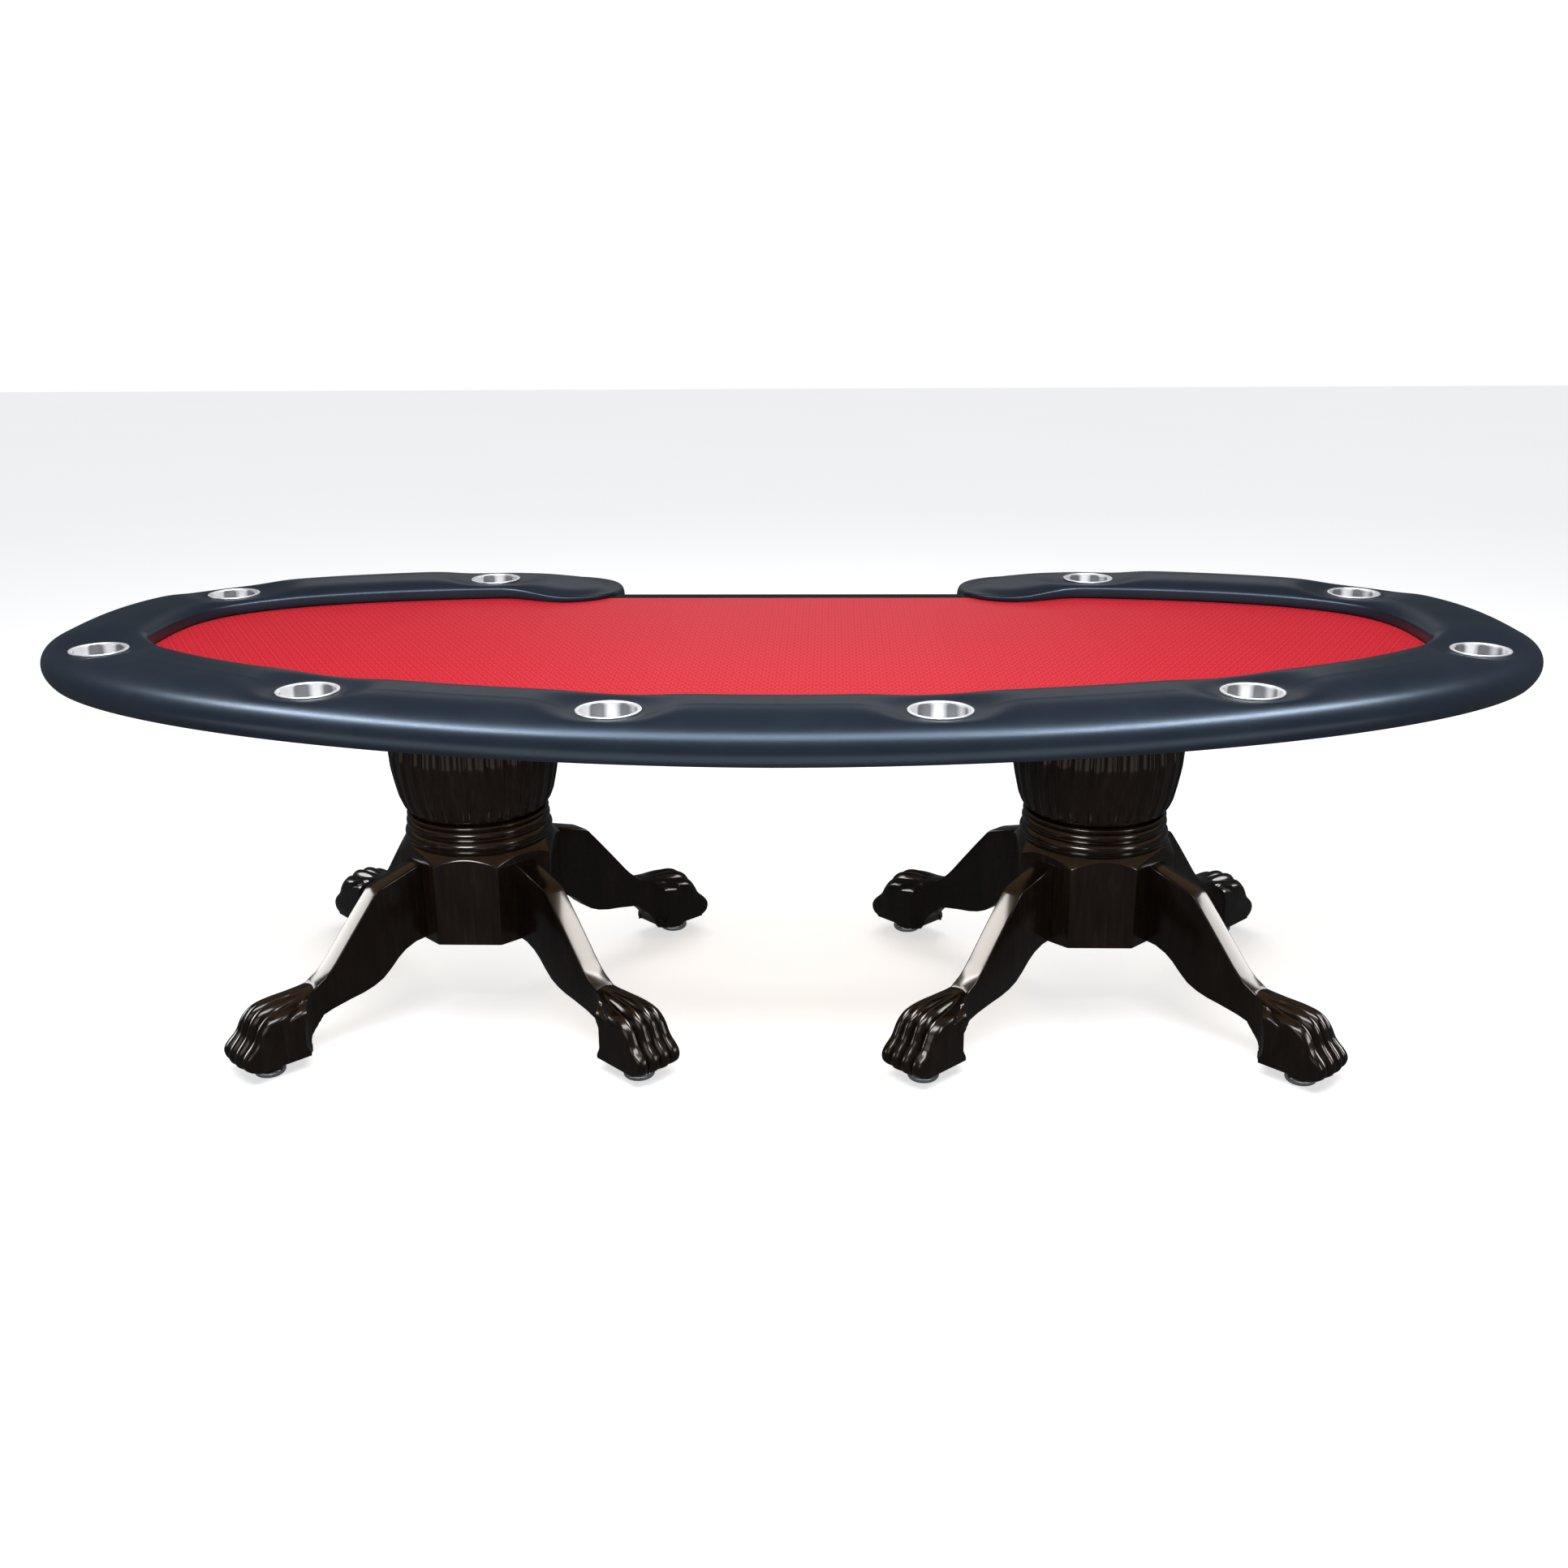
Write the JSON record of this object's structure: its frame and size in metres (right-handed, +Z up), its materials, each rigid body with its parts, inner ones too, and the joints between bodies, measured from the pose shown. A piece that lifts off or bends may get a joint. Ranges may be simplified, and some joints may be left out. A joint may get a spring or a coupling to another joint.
{
  "type": "casino card table",
  "caption": "Oval card table with padded rail, dealer cut-out, drop-in cup holders, red cloth top and two carved claw-foot pedestals on screw levellers.",
  "frame": {"origin": "on the floor under the middle of the tabletop's outline", "axes": "+X along the table's length to the right as seen by the players, +Y towards the dealer cut-out, +Z up"},
  "size_m": [2.702, 1.2365, 0.734],
  "materials": {
    "plywood": "bare birch plywood, hidden",
    "foam": "upholstery foam, hidden",
    "speed_cloth": "crimson woven speed cloth with a faint tone-on-tone lattice",
    "rail_vinyl": "black smooth padded vinyl, satin",
    "edge_trim": "black edge strip, satin gloss",
    "stainless": "polished stainless steel",
    "espresso_wood": "very dark espresso stain under gloss lacquer",
    "zinc_hardware": "zinc plated",
    "chrome_glide": "bright chrome plate"
  },
  "bodies": {
    "table": {"table_deck": "plywood", "playfield_board": "plywood", "rail_board": "plywood", "playfield_foam": "foam", "rail_foam": "foam", "playfield_cloth": "speed_cloth", "rail_vinyl": "rail_vinyl", "dealer_edge_trim": "edge_trim", "rail_bolts": "zinc_hardware", "rail_t_nuts": "zinc_hardware", "top_plate_left": "espresso_wood", "urn_left": "espresso_wood", "collar_left": "espresso_wood", "hub_left": "espresso_wood", "tie_rod_left": "zinc_hardware", "plate_screws_left": "zinc_hardware", "leg_bolts_left": "zinc_hardware", "foot_inserts_left": "zinc_hardware", "leg_left_fl": "espresso_wood", "leg_left_fr": "espresso_wood", "leg_left_bl": "espresso_wood", "leg_left_br": "espresso_wood", "top_plate_right": "espresso_wood", "urn_right": "espresso_wood", "collar_right": "espresso_wood", "hub_right": "espresso_wood", "tie_rod_right": "zinc_hardware", "plate_screws_right": "zinc_hardware", "leg_bolts_right": "zinc_hardware", "foot_inserts_right": "zinc_hardware", "leg_right_fl": "espresso_wood", "leg_right_fr": "espresso_wood", "leg_right_bl": "espresso_wood", "leg_right_br": "espresso_wood"},
    "cup_holder_01_body": {"cup_holder_01": "stainless"},
    "cup_holder_02_body": {"cup_holder_02": "stainless"},
    "cup_holder_03_body": {"cup_holder_03": "stainless"},
    "cup_holder_04_body": {"cup_holder_04": "stainless"},
    "cup_holder_05_body": {"cup_holder_05": "stainless"},
    "cup_holder_06_body": {"cup_holder_06": "stainless"},
    "cup_holder_07_body": {"cup_holder_07": "stainless"},
    "cup_holder_08_body": {"cup_holder_08": "stainless"},
    "cup_holder_09_body": {"cup_holder_09": "stainless"},
    "cup_holder_10_body": {"cup_holder_10": "stainless"},
    "leveller_left_fl_body": {"leveller_left_fl": "chrome_glide"},
    "leveller_left_fr_body": {"leveller_left_fr": "chrome_glide"},
    "leveller_left_bl_body": {"leveller_left_bl": "chrome_glide"},
    "leveller_left_br_body": {"leveller_left_br": "chrome_glide"},
    "leveller_right_fl_body": {"leveller_right_fl": "chrome_glide"},
    "leveller_right_fr_body": {"leveller_right_fr": "chrome_glide"},
    "leveller_right_bl_body": {"leveller_right_bl": "chrome_glide"},
    "leveller_right_br_body": {"leveller_right_br": "chrome_glide"}
  },
  "joints": [
    {"name": "cup_holder_01_lift", "type": "slide", "parent": "table", "child": "cup_holder_01_body", "axis": [0, 0, 1], "range_m": [0, 0.095]},
    {"name": "cup_holder_02_lift", "type": "slide", "parent": "table", "child": "cup_holder_02_body", "axis": [0, 0, 1], "range_m": [0, 0.095]},
    {"name": "cup_holder_03_lift", "type": "slide", "parent": "table", "child": "cup_holder_03_body", "axis": [0, 0, 1], "range_m": [0, 0.095]},
    {"name": "cup_holder_04_lift", "type": "slide", "parent": "table", "child": "cup_holder_04_body", "axis": [0, 0, 1], "range_m": [0, 0.095]},
    {"name": "cup_holder_05_lift", "type": "slide", "parent": "table", "child": "cup_holder_05_body", "axis": [0, 0, 1], "range_m": [0, 0.095]},
    {"name": "cup_holder_06_lift", "type": "slide", "parent": "table", "child": "cup_holder_06_body", "axis": [0, 0, 1], "range_m": [0, 0.095]},
    {"name": "cup_holder_07_lift", "type": "slide", "parent": "table", "child": "cup_holder_07_body", "axis": [0, 0, 1], "range_m": [0, 0.095]},
    {"name": "cup_holder_08_lift", "type": "slide", "parent": "table", "child": "cup_holder_08_body", "axis": [0, 0, 1], "range_m": [0, 0.095]},
    {"name": "cup_holder_09_lift", "type": "slide", "parent": "table", "child": "cup_holder_09_body", "axis": [0, 0, 1], "range_m": [0, 0.095]},
    {"name": "cup_holder_10_lift", "type": "slide", "parent": "table", "child": "cup_holder_10_body", "axis": [0, 0, 1], "range_m": [0, 0.095]},
    {"name": "leveller_left_fl_screw", "type": "slide", "parent": "table", "child": "leveller_left_fl_body", "axis": [0, 0, -1], "range_m": [0, 0.012]},
    {"name": "leveller_left_fr_screw", "type": "slide", "parent": "table", "child": "leveller_left_fr_body", "axis": [0, 0, -1], "range_m": [0, 0.012]},
    {"name": "leveller_left_bl_screw", "type": "slide", "parent": "table", "child": "leveller_left_bl_body", "axis": [0, 0, -1], "range_m": [0, 0.012]},
    {"name": "leveller_left_br_screw", "type": "slide", "parent": "table", "child": "leveller_left_br_body", "axis": [0, 0, -1], "range_m": [0, 0.012]},
    {"name": "leveller_right_fl_screw", "type": "slide", "parent": "table", "child": "leveller_right_fl_body", "axis": [0, 0, -1], "range_m": [0, 0.012]},
    {"name": "leveller_right_fr_screw", "type": "slide", "parent": "table", "child": "leveller_right_fr_body", "axis": [0, 0, -1], "range_m": [0, 0.012]},
    {"name": "leveller_right_bl_screw", "type": "slide", "parent": "table", "child": "leveller_right_bl_body", "axis": [0, 0, -1], "range_m": [0, 0.012]},
    {"name": "leveller_right_br_screw", "type": "slide", "parent": "table", "child": "leveller_right_br_body", "axis": [0, 0, -1], "range_m": [0, 0.012]}
  ]
}
